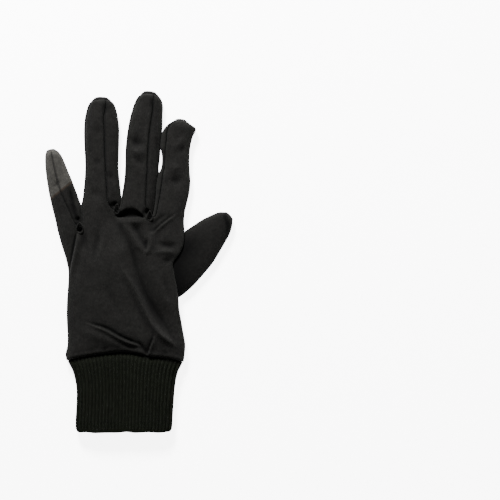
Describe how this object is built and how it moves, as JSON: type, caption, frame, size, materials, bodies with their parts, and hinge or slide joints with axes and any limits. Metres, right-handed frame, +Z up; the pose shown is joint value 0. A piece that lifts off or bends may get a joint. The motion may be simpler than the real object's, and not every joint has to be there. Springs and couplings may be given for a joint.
{
  "type": "glove liner",
  "caption": "Thin stretch-knit glove liner for the left hand, lying flat, with a back and a palm panel, strips between the fingers, a set-in thumb and a rib-knit cuff.",
  "frame": {"origin": "under the middle of the palm, on the surface that the glove lies on", "axes": "+Y to the fingertips, +X to the thumb, +Z up from the surface, out of the back of the hand"},
  "size_m": [0.141, 0.256, 0.0121],
  "materials": {
    "stretch_knit": "black fine stretch knit with a soft sheen, faded grey at the little finger's tip",
    "rib_knit": "black matt rib knit"
  },
  "bodies": {
    "root": {"back_panel": "stretch_knit", "palm_panel": "stretch_knit", "fourchette_little_ring": "stretch_knit", "fourchette_ring_middle": "stretch_knit", "fourchette_middle_index": "stretch_knit", "thumb": "stretch_knit", "cuff": "rib_knit"}
  },
  "joints": []
}
